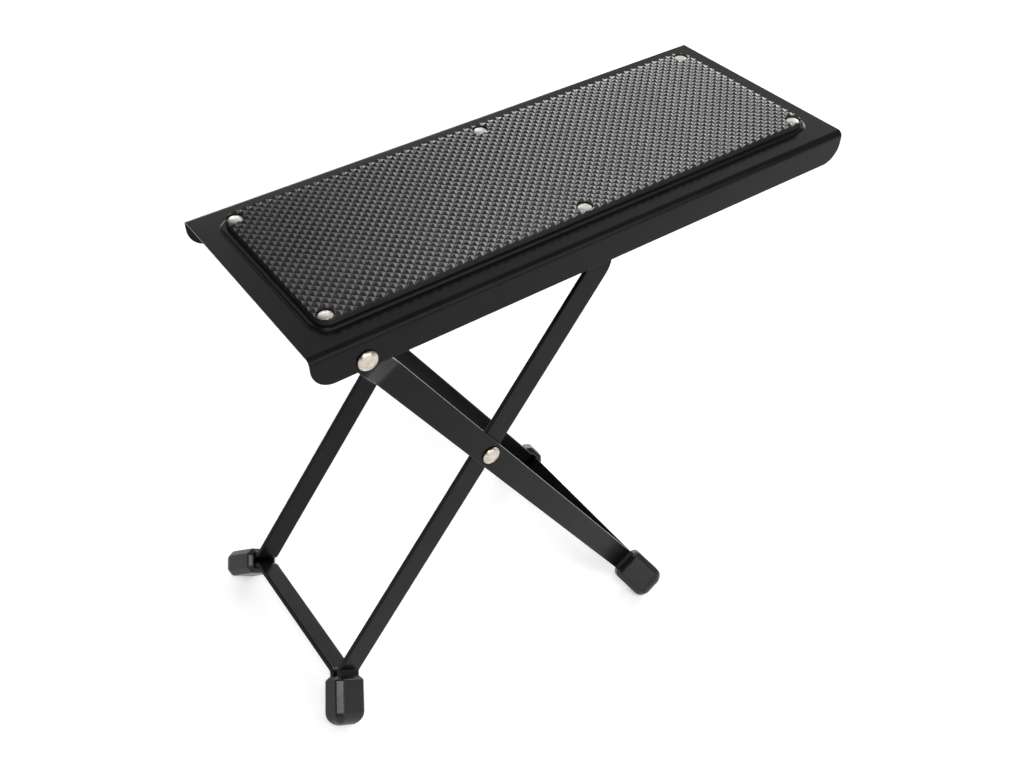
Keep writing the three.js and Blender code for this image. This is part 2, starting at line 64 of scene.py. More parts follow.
# Foot plate
plate_length = 300
plate_width = 120.4
sheet_thickness = 1.2
flange_depth = 16.1
bend_radius = 3.2
flange_corner_radius = 10
rim_rounding = 0.28

# Raised panel
panel_end_margin = 9.1
panel_side_margin = 11.5
panel_rise = 1.2
panel_corner_radius = 9
panel_wall_slope = math.radians(62)
panel_foot_radius = 0.35
panel_shoulder_radius = 1.3

# Studded mat
mat_end_margin = 3.6
mat_side_margin = 1.9
mat_gap = 0.3
mat_thickness = 3.5
mat_wall_inset = 0.5
mat_corner_radius = 6
stud_pitch = 3.47
stud_height = 1.2
stud_rounding = 0.06

# Mat rivets
mat_rivet_end_inset = 4.8
mat_rivet_side_inset = 4.9
mat_rivet_head = 7.2
mat_rivet_height = 1.2
mat_rivet_shank = 3.4
mat_rivet_tail = 5.6
mat_rivet_tail_height = 1.3
mat_rivet_seat_depth = 2.6
mat_rivet_seat_clearance = 0.3

# Flat bar
bar_width = 13.6
bar_thickness = 2.5
bar_edge_radius = 0.55
bar_bend_radius = 3
ear_gap = 3
ear_length = 17
joggle_bend_radius = 14

# Pivots
pivot_shank = 5
pivot_head = 9.6
pivot_head_height = 2.3
pivot_tail = 7.4
pivot_tail_height = 1.4
spacer_thickness = 0.6
spacer_diameter = 11
tail_washer_thickness = 0.8
tail_washer_diameter = 10
washer_rounding = 0.12
shank_clearance = 0.25
seat_gap = 0.3

# Rivet forms, as shares of the head's height and of the tail's
head_rim_share = 0.2
tail_rounding_share = 1 / 3

# Linkage
pivot_from_end = 24.8
pivot_drop = 11.5
inner_leg_angle = math.radians(51.2)
pivot_to_cross = 119.1
cross_to_left_feet = 148.0
cross_to_right_feet = 182.6
rest_bar_top_drop = 13.25
frame_top_bend_radius = 15
joggle_start = 9
joggle_length = 14
joggle_step = 5.6

# Foot caps
cap_flat_wall = 3.1
cap_edge_wall = 3.15
cap_draft = 0.2
cap_chamfer = 3.1
cap_mouth_bevel = 2.2
cap_mouth_length = 2
cap_flat_length = 16.2
cap_dome = 6.6
cap_dome_angle = math.radians(75)
cap_mouth_setback = 0.4
cap_pocket_clearance = 0.3
cap_edge_radius = 0.6

# Smoothness of the meshes
arc_steps = 12
round_steps = 64
bar_corner_steps = 4
rivet_tail_steps = 4
flange_middle_steps = 24
cut_overrun = 4
same_point = 0.001

# Steps across a rounded edge
rim_steps = 3
cap_edge_steps = 3
rack_edge_steps = 2
stud_edge_steps = 2

# Angles in degrees: an edge that turns by more is rounded
rim_angle = 70
cap_edge_angle = 20
rack_edge_angle = 30

# Angles in degrees: an edge that turns by more stays sharp in the shading
sheet_sharp = 38
turned_sharp = 50
stud_sharp = 10

# Angle in degrees: facets of the rack that meet at less are joined
flat_angle = 1

# Camera, fitted in the plate's frame: place in millimetres, angles in degrees, focal length in pixels
camera_place = (-276.71, -375.59, 290.05)
camera_azimuth = math.radians(-35.27)
camera_elevation = math.radians(42.403)
camera_roll = math.radians(-0.306)
camera_focal_pixels = 1134.15
picture_width_pixels = 1024
sensor_width = 36
camera_clip_start = 0.01

# Light, where a brightness of 1 is white: lamps on a dome about the object, floor and sky
dome_centre = Vector((0, 0, 0.27))
dome_radius = 3
floor_reach = 12
floor_grey = 0.8
floor_glow = 0.4
far_floor_glow = 0.82
floor_glow_reach = dome_radius / 2
far_floor_glow_start = 2 * dome_radius
backdrop_height = 2.2
sky_way = Vector((1, 0, 0.3))
sky_fade_start = -0.5
sky_fade_end = 0.4
sky_dark = 0.08
sky_light = 0.42

# Name, azimuth from +X towards +Y and elevation in degrees, width and height in metres, brightness
soft_boxes = (
    ("right_box", 16, 23, 1.3, 1.6, 5.3),
    ("rear_low_box", 76, 12, 1.9, 1.3, 4.6),
    ("rear_high_box", 60, 43, 2.6, 1.4, 0.6),
    ("front_box", 273, 29, 3.5, 2.1, 2),
    ("cap_box", 230, 51, 1.05, 1.05, 10.5),
)

# Sizes that follow
panel_length = plate_length - 2 * panel_end_margin
panel_width = plate_width - 2 * panel_side_margin
mat_length = panel_length - 2 * mat_end_margin
mat_width = panel_width - 2 * mat_side_margin
mat_bottom = panel_rise + mat_gap
mat_top = mat_bottom + mat_thickness
mat_rivet_x = mat_length / 2 - mat_rivet_end_inset
mat_rivet_y = mat_width / 2 - mat_rivet_side_inset
mat_rivet_hole = mat_rivet_shank + 2 * shank_clearance
pivot_hole = pivot_shank + 2 * shank_clearance
bar_half = bar_thickness / 2
ear_half_pitch = (ear_gap + bar_thickness) / 2
cap_depth = 2 * (ear_half_pitch + bar_half + cap_flat_wall)
cap_width = bar_width + 2 * cap_edge_wall
flange_inside = plate_width / 2 - sheet_thickness
pivot_leg_outer = flange_inside - seat_gap - spacer_thickness - seat_gap
outer_leg_outer = pivot_leg_outer - joggle_step
inner_leg_outer = outer_leg_outer - bar_thickness - seat_gap - spacer_thickness - seat_gap
outer_line = outer_leg_outer - bar_half
inner_line = inner_leg_outer - bar_half

SIDES = (("front", -1), ("rear", 1))
mat_rivet_places = {
    f"mat_rivet_{side}_{end}": (x, out * mat_rivet_y)
    for side, out in SIDES
    for end, x in (("left", -mat_rivet_x), ("middle", 0), ("right", mat_rivet_x))
}


def basis(x_axis, y_axis, z_axis, origin):
    """Matrix from a piece's own millimetres to the scene's metres."""
    turn = Matrix((x_axis, y_axis, z_axis)).transposed().to_4x4()
    return Matrix.Translation(origin) @ turn @ Matrix.Scale(MM, 4)


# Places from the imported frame
joint_at = {joint["name"]: Vector(joint["pos_m"]) for joint in frame["joints"]}
mount_axis = {mount["name"]: Vector(mount["axis"]) for mount in frame["record"]["mounts"]}
plate_up = mount_axis["right_rim"].normalized()
back_way = Vector((0, 1, 0))
plate_along = back_way.cross(plate_up)
plate_pivot = joint_at["plate_lift"]
cross_pivot = joint_at["cross_fold"]
pivot_x = pivot_from_end - plate_length / 2
plate_origin = plate_pivot - (plate_along * pivot_x - plate_up * pivot_drop) * MM
plate_place = basis(plate_along, back_way, plate_up, plate_origin)
pivot_place = basis(plate_along, back_way, plate_up, plate_pivot)

outer_down = (cross_pivot - plate_pivot).normalized()
outer_place = basis(outer_down, back_way, outer_down.cross(back_way), plate_pivot)
cross_place = basis(outer_down, back_way, outer_down.cross(back_way), cross_pivot)

inner_up = plate_along * math.cos(inner_leg_angle) + plate_up * math.sin(inner_leg_angle)
inner_place = basis(inner_up, back_way, inner_up.cross(back_way), cross_pivot)
cross_drop = -((cross_pivot - plate_origin).dot(plate_up)) / MM
top_bar_half_rise = (bar_width * math.cos(inner_leg_angle) + bar_thickness * math.sin(inner_leg_angle)) / 2
cross_to_top_bar = (cross_drop - rest_bar_top_drop - top_bar_half_rise) / math.sin(inner_leg_angle)


# Mesh helpers

def new_object(name, bm, place=None):
    if place is not None:
        bm.transform(place)
    bmesh.ops.recalc_face_normals(bm, faces=bm.faces)
    mesh = bpy.data.meshes.new(name)
    bm.to_mesh(mesh)
    bm.free()
    piece = bpy.data.objects.new(name, mesh)
    bpy.context.scene.collection.objects.link(piece)
    return piece


def apply_modifiers(piece):
    bpy.context.view_layer.update()
    graph = bpy.context.evaluated_depsgraph_get()
    mesh = bpy.data.meshes.new_from_object(piece.evaluated_get(graph))
    old = piece.data
    piece.modifiers.clear()
    piece.data = mesh
    bpy.data.meshes.remove(old)


def boolean(piece, cutter, operation):
    step = piece.modifiers.new("cut", "BOOLEAN")
    step.object = cutter
    step.operation = operation
    step.solver = "EXACT"
    apply_modifiers(piece)
    bpy.data.objects.remove(cutter)


def shade(piece, sharp_degrees=sheet_sharp):
    """Smooth shading that keeps flats flat and corners sharp."""
    mesh = piece.data
    mesh.shade_smooth()
    mesh.set_sharp_from_angle(angle=math.radians(sharp_degrees))
    weigh = piece.modifiers.new("weigh", "WEIGHTED_NORMAL")
    weigh.keep_sharp = True
    apply_modifiers(piece)


def finish_piece(piece, node, body, material):
    piece.data.materials.clear()
    piece.data.materials.append(material)
    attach(piece, body)
    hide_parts(node)
    return piece


def rounded_rectangle(length, width, radius, level):
    points = []
    for quarter, (sign_x, sign_y) in enumerate(((1, 1), (-1, 1), (-1, -1), (1, -1))):
        for k in range(arc_steps + 1):
            angle = (quarter + k / arc_steps) * math.pi / 2
            x = sign_x * (length / 2 - radius) + radius * math.cos(angle)
            y = sign_y * (width / 2 - radius) + radius * math.sin(angle)
            points.append(Vector((x, y, level)))
    return points


def add_ring(bm, points):
    return [bm.verts.new(point) for point in points]


def join_rings(bm, lower, upper, closed=True):
    count = len(lower)
    for k in range(count if closed else count - 1):
        after = (k + 1) % count
        bm.faces.new((lower[k], lower[after], upper[after], upper[k]))


def loft(rings):
    """Closed skin over rings of like points."""
    bm = bmesh.new()
    rows = [add_ring(bm, ring) for ring in rings]
    for lower, upper in zip(rows, rows[1:]):
        join_rings(bm, lower, upper)
    bm.faces.new(list(reversed(rows[0])))
    bm.faces.new(rows[-1])
    return bm


def is_corner(edge, degrees):
    return edge.is_manifold and edge.calc_face_angle() > math.radians(degrees)


def round_edges(bm, edges, offset, steps):
    bmesh.ops.bevel(bm, geom=edges, offset=offset, segments=steps, profile=0.5, affect="EDGES")


def lathe(profile):
    """Solid of revolution about Z, from (radius, height) points that start and end on the axis or
    close on themselves."""
    bm = bmesh.new()
    turns = [2 * math.pi * k / round_steps for k in range(round_steps)]
    rows = []
    for radius, height in profile:
        if radius == 0:
            rows.append([bm.verts.new((0, 0, height))])
            continue
        rows.append([bm.verts.new((radius * math.cos(a), radius * math.sin(a), height)) for a in turns])
    pairs = list(zip(rows, rows[1:]))
    if profile[0][0] > 0:
        pairs.append((rows[-1], rows[0]))
    for lower, upper in pairs:
        for k in range(round_steps):
            after = (k + 1) % round_steps
            corners = [lower[k % len(lower)], lower[after % len(lower)]]
            corners += [upper[after % len(upper)], upper[k % len(upper)]]
            bm.faces.new(list(dict.fromkeys(corners)))
    return bm


def drill(piece, diameter, length, place):
    """Cuts a round hole about the place's Z axis, as far to both sides of its origin."""
    half, radius = length / 2, diameter / 2
    bm = lathe([(0, -half), (radius, -half), (radius, half), (0, half)])
    boolean(piece, new_object("cutter", bm, place), "DIFFERENCE")


along_y = Matrix.Rotation(-math.pi / 2, 4, "X")


def rounded_path(corners, closed=False):
    """Polyline with rounded corners, each corner a point and a radius, as (point, direction) samples."""
    samples = []
    count = len(corners)

    def add(at, way):
        if not samples or (samples[-1][0] - at).length > same_point:
            samples.append((at, way))

    for i, (at, radius) in enumerate(corners):
        before = corners[i - 1][0]
        after = corners[(i + 1) % count][0]
        if not closed and i in (0, count - 1):
            add(at.copy(), ((after - at) if i == 0 else (at - before)).normalized())
            continue
        arrive = (at - before).normalized()
        leave = (after - at).normalized()
        turn = math.atan2(arrive.x * leave.y - arrive.y * leave.x, arrive.dot(leave))
        hand = math.copysign(1, turn)
        start = at - arrive * radius * math.tan(abs(turn) / 2)
        centre = start + Vector((-arrive.y, arrive.x)) * hand * radius
        steps = max(1, round(arc_steps * abs(turn) / (math.pi / 2)))
        for k in range(steps + 1):
            way = arrive.copy()
            way.rotate(Matrix.Rotation(turn * k / steps, 2))
            add(centre + Vector((way.y, -way.x)) * hand * radius, way)
    return samples


# Finishes

def principled(name, colour, roughness, metallic=0.0, specular=0.5):
    material = bpy.data.materials.new(name)
    material.use_nodes = True
    shader = material.node_tree.nodes["Principled BSDF"]
    shader.inputs["Base Color"].default_value = (*colour, 1)
    shader.inputs["Roughness"].default_value = roughness
    shader.inputs["Metallic"].default_value = metallic
    shader.inputs["Specular IOR Level"].default_value = specular
    return material, shader


def noise(material, grain_mm, detail):
    """Noise with grains of that size, fixed to the piece."""
    nodes, links = material.node_tree.nodes, material.node_tree.links
    place = nodes.new("ShaderNodeTexCoord")
    texture = nodes.new("ShaderNodeTexNoise")
    texture.inputs["Scale"].default_value = 1 / (grain_mm * MM)
    texture.inputs["Detail"].default_value = detail
    links.new(place.outputs["Object"], texture.inputs["Vector"])
    return texture.outputs["Fac"]


def ramp(material, source, low, high, low_at=0.3, high_at=0.7):
    """Maps a texture from low to high. Both ends are numbers or both are colours."""
    nodes, links = material.node_tree.nodes, material.node_tree.links
    if isinstance(low, tuple):
        step = nodes.new("ShaderNodeValToRGB")
        step.color_ramp.elements[0].position = low_at
        step.color_ramp.elements[0].color = (*low, 1)
        step.color_ramp.elements[1].position = high_at
        step.color_ramp.elements[1].color = (*high, 1)
        links.new(source, step.inputs["Fac"])
        return step.outputs["Color"]
    step = nodes.new("ShaderNodeMapRange")
    step.inputs["From Min"].default_value = low_at
    step.inputs["From Max"].default_value = high_at
    step.inputs["To Min"].default_value = low
    step.inputs["To Max"].default_value = high
    links.new(source, step.inputs["Value"])
    return step.outputs["Result"]


def vary(material, shader, socket, source, low, high):
    """Lets a texture vary a socket of the shader from low to high."""
    material.node_tree.links.new(ramp(material, source, low, high), shader.inputs[socket])


def add_bump(material, shader, layers):
    """Bumps stacked from (texture, height in millimetres) pairs."""
    nodes, links = material.node_tree.nodes, material.node_tree.links
    normal = None
    for texture, height in layers:
        step = nodes.new("ShaderNodeBump")
        step.inputs["Distance"].default_value = height * MM
        links.new(texture, step.inputs["Height"])
        if normal is not None:
            links.new(normal, step.inputs["Normal"])
        normal = step.outputs["Normal"]
    links.new(normal, shader.inputs["Normal"])


def powder_coat():
    colour = (0.005, 0.005, 0.0048)
    material, shader = principled("black_powder_coat", colour, roughness=0.22, specular=0.115)
    cloud = noise(material, grain_mm=18, detail=4)
    vary(material, shader, "Base Color", cloud, (0.0036, 0.0036, 0.0034), (0.0056, 0.0055, 0.0052))
    grain = noise(material, grain_mm=0.45, detail=2)
    vary(material, shader, "Roughness", grain, 0.2, 0.25)
    peel = noise(material, grain_mm=1.6, detail=2)
    add_bump(material, shader, [(peel, 0.0015), (grain, 0.0005)])
    return material


def mat_rubber():
    colour = (0.011, 0.011, 0.011)
    material, shader = principled("mat_rubber", colour, roughness=0.32, specular=0.55)
    cloud = noise(material, grain_mm=26, detail=4)
    vary(material, shader, "Base Color", cloud, (0.008, 0.008, 0.0078), (0.013, 0.013, 0.0127))
    vary(material, shader, "Roughness", cloud, 0.29, 0.35)
    add_bump(material, shader, [(noise(material, grain_mm=0.8, detail=2), 0.002)])
    return material


def cap_rubber():
    colour = (0.012, 0.012, 0.0115)
    material, shader = principled("cap_rubber", colour, roughness=0.3, specular=0.29)
    cloud = noise(material, grain_mm=7, detail=4)
    vary(material, shader, "Base Color", cloud, (0.0085, 0.0085, 0.0081), (0.012, 0.012, 0.0114))
    vary(material, shader, "Roughness", cloud, 0.24, 0.33)
    mottle = noise(material, grain_mm=2.2, detail=2)
    grain = noise(material, grain_mm=0.35, detail=2)
    add_bump(material, shader, [(mottle, 0.02), (grain, 0.006)])
    return material


def nickel_plate(name, dark, light, smooth, rough):
    material, shader = principled(name, light, smooth, metallic=1.0)
    cloud = noise(material, grain_mm=2.4, detail=3)
    vary(material, shader, "Base Color", cloud, dark, light)
    vary(material, shader, "Roughness", cloud, smooth, rough)
    add_bump(material, shader, [(noise(material, grain_mm=1.1, detail=2), 0.01)])
    return material


def zinc_plate():
    material, shader = principled("zinc_plate", (0.6, 0.6, 0.62), roughness=0.36, metallic=1.0)
    cloud = noise(material, grain_mm=1.5, detail=3)
    vary(material, shader, "Base Color", cloud, (0.5, 0.5, 0.51), (0.66, 0.66, 0.67))
    vary(material, shader, "Roughness", cloud, 0.3, 0.45)
    return material


POWDER = powder_coat()
MAT_RUBBER = mat_rubber()
CAP_RUBBER = cap_rubber()
NICKEL = nickel_plate("nickel_plate", (0.46, 0.4, 0.33), (0.62, 0.58, 0.52), 0.24, 0.36)
SATIN_NICKEL = nickel_plate("satin_nickel_plate", (0.66, 0.63, 0.58), (0.8, 0.77, 0.73), 0.38, 0.48)
ZINC = zinc_plate()


# Foot plate

def panel_wall():
    """Side view of the panel's edge as (inset, level) pairs, from the flat rim up to the panel's top."""
    foot, shoulder, slope = panel_foot_radius, panel_shoulder_radius, panel_wall_slope
    steps = arc_steps // 2
    points = []
    for k in range(steps + 1):
        angle = slope * k / steps
        points.append((foot * math.sin(angle), foot * (1 - math.cos(angle))))
    straight = panel_rise - (foot + shoulder) * (1 - math.cos(slope))
    inset = points[-1][0] + straight / math.tan(slope) + shoulder * math.sin(slope)
    for k in range(steps, -1, -1):
        angle = slope * k / steps
        points.append((inset - shoulder * math.sin(angle), panel_rise - shoulder * (1 - math.cos(angle))))
    return points


def flange_columns():
    """X places along the plate's long side, close together over the flange's rounded corners."""
    half = plate_length / 2
    ends = []
    for k in range(arc_steps + 1):
        angle = math.pi / 2 * k / arc_steps
        ends.append(half - flange_corner_radius * (1 - math.sin(math.pi / 2 - angle)))
    inner = half - flange_corner_radius
    middle = [inner - 2 * inner * k / flange_middle_steps for k in range(1, flange_middle_steps)]
    return ends + middle + [-x for x in reversed(ends)]


def flange_low(x):
    past = abs(x) - (plate_length / 2 - flange_corner_radius)
    if past <= 0:
        return -flange_depth
    radius = flange_corner_radius
    return -flange_depth + radius - math.sqrt(max(0, radius * radius - past * past))


def foot_plate():
    bm = bmesh.new()
    columns = flange_columns()
    bend_y = plate_width / 2 - bend_radius
    edges = {}
    for _, out in SIDES:
        rows = [[bm.verts.new((x, out * bend_y, 0)) for x in columns]]
        for k in range(1, arc_steps + 1):
            angle = math.pi / 2 * k / arc_steps
            y = out * (bend_y + bend_radius * math.sin(angle))
            z = -bend_radius * (1 - math.cos(angle))
            rows.append([bm.verts.new((x, y, z)) for x in columns])
        rows.append([bm.verts.new((x, out * plate_width / 2, flange_low(x))) for x in columns])
        for upper, lower in zip(rows, rows[1:]):
            join_rings(bm, upper, lower, closed=False)
        edges[out] = rows[0]
    wall = panel_wall()
    rings = []
    for inset, level in wall:
        radius = panel_corner_radius - inset
        outline = rounded_rectangle(panel_length - 2 * inset, panel_width - 2 * inset, radius, level)
        rings.append(add_ring(bm, outline))
    for lower, upper in zip(rings, rings[1:]):
        join_rings(bm, lower, upper)
    bm.faces.new(rings[-1])
    # Flat rim between the panel's foot and the bends
    rim = []
    for ring in (edges[1], list(reversed(edges[-1]))):
        rim += ring
    boundary = [bm.edges.get((a, b)) or bm.edges.new((a, b)) for a, b in zip(rim, rim[1:] + rim[:1])]
    foot = rings[0]
    boundary += [bm.edges.get((a, b)) for a, b in zip(foot, foot[1:] + foot[:1])]
    bmesh.ops.triangle_fill(bm, edges=boundary, use_beauty=True, normal=(0, 0, 1))
    piece = new_object("foot_plate_sheet", bm)
    thick = piece.modifiers.new("sheet", "SOLIDIFY")
    thick.thickness = sheet_thickness
    thick.offset = -1
    thick.use_even_offset = True
    apply_modifiers(piece)
    round_rims(piece)
    across = Matrix.Translation((pivot_x, 0, -pivot_drop)) @ along_y
    drill(piece, pivot_hole, plate_width + cut_overrun, across)
    for x, y in mat_rivet_places.values():
        drill(piece, mat_rivet_hole, flange_depth, Matrix.Translation((x, y, 0)))
    piece.data.transform(plate_place)
    shade(piece)
    return finish_piece(piece, "foot_plate", "foot_plate", POWDER)


def round_rims(piece):
    """Rounds the cut edges of the sheet, which are its only right angles."""
    bm = bmesh.new()
    bm.from_mesh(piece.data)
    rims = [edge for edge in bm.edges if is_corner(edge, rim_angle)]
    round_edges(bm, rims, rim_rounding, rim_steps)
    bm.to_mesh(piece.data)
    bm.free()


# Rubber mat

def stud_field():
    """Slab whose top is square pyramids set cornerwise, wider than the mat on every side."""
    half = stud_pitch / math.sqrt(2)
    span_i = math.ceil(mat_length / 2 / half) + 1
    span_j = math.ceil(mat_width / 2 / half) + 1
    bm = bmesh.new()
    grid = {}
    for i in range(-span_i, span_i + 1):
        for j in range(-span_j, span_j + 1):
            level = mat_top - stud_height * ((i + j) % 2)
            grid[i, j] = bm.verts.new((i * half, j * half, level))
    tips = {spot: vertex for spot, vertex in grid.items() if sum(spot) % 2 == 0}
    for (i, j), tip in tips.items():
        around = [grid.get(spot) for spot in ((i + 1, j), (i, j + 1), (i - 1, j), (i, j - 1))]
        for a, b in zip(around, around[1:] + around[:1]):
            if a and b:
                bm.faces.new((tip, a, b))
    loose = [vertex for vertex in bm.verts if not vertex.link_faces]
    bmesh.ops.delete(bm, geom=loose, context="VERTS")
    whole = [tip for tip in tips.values() if tip.is_valid and len(tip.link_faces) == 4]
    ridges = [edge for tip in whole for edge in tip.link_edges]
    round_edges(bm, ridges, stud_rounding, stud_edge_steps)
    rim = [edge for edge in bm.edges if edge.is_boundary]
    skirt = bmesh.ops.extrude_edge_only(bm, edges=rim)["geom"]
    low = [part for part in skirt if isinstance(part, bmesh.types.BMVert)]
    for vertex in low:
        vertex.co.z = mat_bottom - cut_overrun
    floor_edges = [part for part in skirt if isinstance(part, bmesh.types.BMEdge) and part.is_boundary]
    bmesh.ops.contextual_create(bm, geom=floor_edges)
    return new_object("stud_field", bm)


def rubber_mat():
    def outline(inset, level):
        radius = mat_corner_radius - inset
        return rounded_rectangle(mat_length - 2 * inset, mat_width - 2 * inset, radius, level)

    rise = mat_thickness + cut_overrun
    inset = mat_wall_inset * rise / mat_thickness
    body = new_object("mat_body", loft([outline(0, mat_bottom), outline(inset, mat_bottom + rise)]))
    boolean(body, stud_field(), "INTERSECT")
    seat = mat_rivet_head + 2 * mat_rivet_seat_clearance
    seat_level = mat_top - mat_rivet_seat_depth + cut_overrun / 2
    for x, y in mat_rivet_places.values():
        drill(body, seat, cut_overrun, Matrix.Translation((x, y, seat_level)))
        drill(body, mat_rivet_hole, flange_depth, Matrix.Translation((x, y, 0)))
    body.name = "studded_mat"
    body.data.transform(plate_place)
    shade(body, stud_sharp)
    return finish_piece(body, "rubber_mat", "foot_plate", MAT_RUBBER)


# Rivets and washers

def rivet_profile(head, head_height, shank, grip, tail, tail_height):
    """From the middle of the tail, along the shank and over the domed head, as (radius, height) pairs."""
    rim = head_height * head_rim_share
    soft = tail_height * tail_rounding_share
    profile = [(0, -grip - tail_height), (tail / 2 - 2 * soft, -grip - tail_height)]
    for k in range(1, rivet_tail_steps):
        angle = math.pi / 2 * k / rivet_tail_steps
        radius = tail / 2 - 2 * soft * (1 - math.sin(angle))
        profile.append((radius, -grip - tail_height + 2 * soft * (1 - math.cos(angle))))
    profile += [(tail / 2, -grip - soft), (tail / 2, -grip), (shank / 2, -grip), (shank / 2, 0)]
    profile += [(head / 2 - rim / 2, 0), (head / 2, rim / 2)]
    for k in range(1, arc_steps + 1):
        angle = math.pi / 2 * k / arc_steps
        radius = 0 if k == arc_steps else head / 2 * math.cos(angle)
        profile.append((radius, rim / 2 + (head_height - rim / 2) * math.sin(angle)))
    return profile


def add_rivet(node, sizes, place, body, material):
    piece = new_object(f"{node}_dome", lathe(rivet_profile(*sizes)), place)
    shade(piece, turned_sharp)
    return finish_piece(piece, node, body, material)


def add_washer(node, diameter, thickness, place, body):
    hole, outer, half, soft = pivot_hole / 2, diameter / 2, thickness / 2, washer_rounding
    profile = [(hole, -half + soft), (hole + soft, -half), (outer - soft, -half), (outer, -half + soft)]
    profile += [(outer, half - soft), (outer - soft, half), (hole + soft, half), (hole, half - soft)]
    piece = new_object(f"{node}_ring", lathe(profile), place)
    shade(piece, turned_sharp)
    return finish_piece(piece, node, body, ZINC)


def mat_rivets():
    grip = mat_thickness - mat_rivet_seat_depth + sheet_thickness + 3 * seat_gap
    sizes = (mat_rivet_head, mat_rivet_height, mat_rivet_shank, grip, mat_rivet_tail, mat_rivet_tail_height)
    for node, (x, y) in mat_rivet_places.items():
        level = mat_top - mat_rivet_seat_depth + seat_gap
        add_rivet(node, sizes, plate_place @ Matrix.Translation((x, y, level)), "foot_plate", SATIN_NICKEL)


def outward(out, level):
    """Turns a piece built about Z to face out of the front or the rear at that distance from the middle."""
    return Matrix.Translation((0, out * level, 0)) @ Matrix.Rotation(-out * math.pi / 2, 4, "X")


def pivot_set(prefix, place, body, head_level, spacer_level, leg_inner):
    tail_level = leg_inner - tail_washer_thickness - 2 * seat_gap
    grip = head_level - tail_level
    sizes = (pivot_head, pivot_head_height, pivot_shank, grip, pivot_tail, pivot_tail_height)
    washer_level = leg_inner - seat_gap - tail_washer_thickness / 2
    spacer = (spacer_diameter, spacer_thickness)
    washer = (tail_washer_diameter, tail_washer_thickness)
    for side, out in SIDES:
        add_rivet(f"{prefix}_rivet_{side}", sizes, place @ outward(out, head_level), body, NICKEL)
        add_washer(f"{prefix}_spacer_{side}", *spacer, place @ outward(out, spacer_level), body)
        add_washer(f"{prefix}_washer_{side}", *washer, place @ outward(out, washer_level), body)


# Leg frames

def bar_section(width_share):
    """Rounded rectangle as (across the thickness, along the width) pairs."""
    half_width = bar_width / 2 * width_share
    radius = min(bar_edge_radius, half_width / 2)
    points = []
    for quarter, (sign_t, sign_w) in enumerate(((1, 1), (-1, 1), (-1, -1), (1, -1))):
        for k in range(bar_corner_steps + 1):
            angle = (quarter + k / bar_corner_steps) * math.pi / 2
            t = sign_t * (bar_half - radius) + radius * math.cos(angle)
            w = sign_w * (half_width - radius) + radius * math.sin(angle)
            points.append((t, w))
    return points


def sweep_bar(samples, closed, width_shares):
    bm = bmesh.new()
    rows = []
    for (at, way), share in zip(samples, width_shares):
        side = Vector((-way.y, way.x))
        points = [(*(at + side * t), w) for t, w in bar_section(share)]
        rows.append(add_ring(bm, points))
    for lower, upper in zip(rows, rows[1:] + rows[:1] if closed else rows[1:]):
        join_rings(bm, lower, upper)
    if not closed:
        bm.faces.new(list(reversed(rows[0])))
        bm.faces.new(rows[-1])
    return bm


def ear_corners(corner, leg_way, out_way):
    """Corners of the hairpin folded out of the bar where a leg meets the bottom cross bar."""
    along = (leg_way + out_way).normalized()
    across = (out_way - leg_way).normalized()
    bend_back = math.sqrt(2) * ear_half_pitch
    tip = corner + along * ear_length
    return [
        (corner - leg_way * bend_back, bar_bend_radius),
        (tip + across * ear_half_pitch, ear_half_pitch),
        (tip - across * ear_half_pitch, ear_half_pitch),
        (corner - out_way * bend_back, bar_bend_radius),
    ]


def mirrored(corners):
    return [(Vector((at.x, -at.y)), radius) for at, radius in reversed(corners)]


def eye_steps():
    """Distances from the rounded end of a leg, with the share of the bar's width there."""
    radius = bar_width / 2
    steps = []
    for k in range(1, arc_steps + 1):
        angle = math.pi / 2 * k / arc_steps
        steps.append((radius * (1 - math.cos(angle)), math.sin(angle)))
    return steps


def outer_leg_frame():
    pivot_line = pivot_leg_outer - bar_half
    feet = pivot_to_cross + cross_to_right_feet
    down, toward_front = Vector((1, 0)), Vector((0, -1))
    half = [
        (Vector((0, -pivot_line)), 0),
        (Vector((joggle_start, -pivot_line)), joggle_bend_radius),
        (Vector((joggle_start + joggle_length, -outer_line)), joggle_bend_radius),
        *ear_corners(Vector((feet, -outer_line)), down, toward_front),
    ]
    samples = rounded_path(half + mirrored(half))
    shares = [1.0] * len(samples)
    first, last = samples[0], samples[-1]
    for distance, share in reversed(eye_steps()):
        reach = bar_width / 2 - distance
        samples.insert(0, (first[0] - first[1] * reach, first[1]))
        samples.append((last[0] + last[1] * reach, last[1]))
        shares.insert(0, share)
        shares.append(share)
    piece = new_object("outer_leg_bar", sweep_bar(samples, False, shares))
    for x in (0, pivot_to_cross):
        drill(piece, pivot_hole, plate_width + cut_overrun, Matrix.Translation((x, 0, 0)) @ along_y)
    piece.data.transform(outer_place)
    shade(piece)
    return finish_piece(piece, "outer_leg_frame", "outer_leg_frame", POWDER)


def inner_leg_frame():
    down, toward_front = Vector((-1, 0)), Vector((0, -1))
    half = [
        (Vector((cross_to_top_bar, -inner_line)), frame_top_bend_radius),
        *ear_corners(Vector((-cross_to_left_feet, -inner_line)), down, toward_front),
    ]
    samples = rounded_path(half + mirrored(half), closed=True)
    piece = new_object("inner_leg_bar", sweep_bar(samples, True, [1.0] * len(samples)))
    drill(piece, pivot_hole, plate_width + cut_overrun, along_y)
    piece.data.transform(inner_place)
    shade(piece)
    return finish_piece(piece, "inner_leg_frame", "inner_leg_frame", POWDER)


# Foot caps

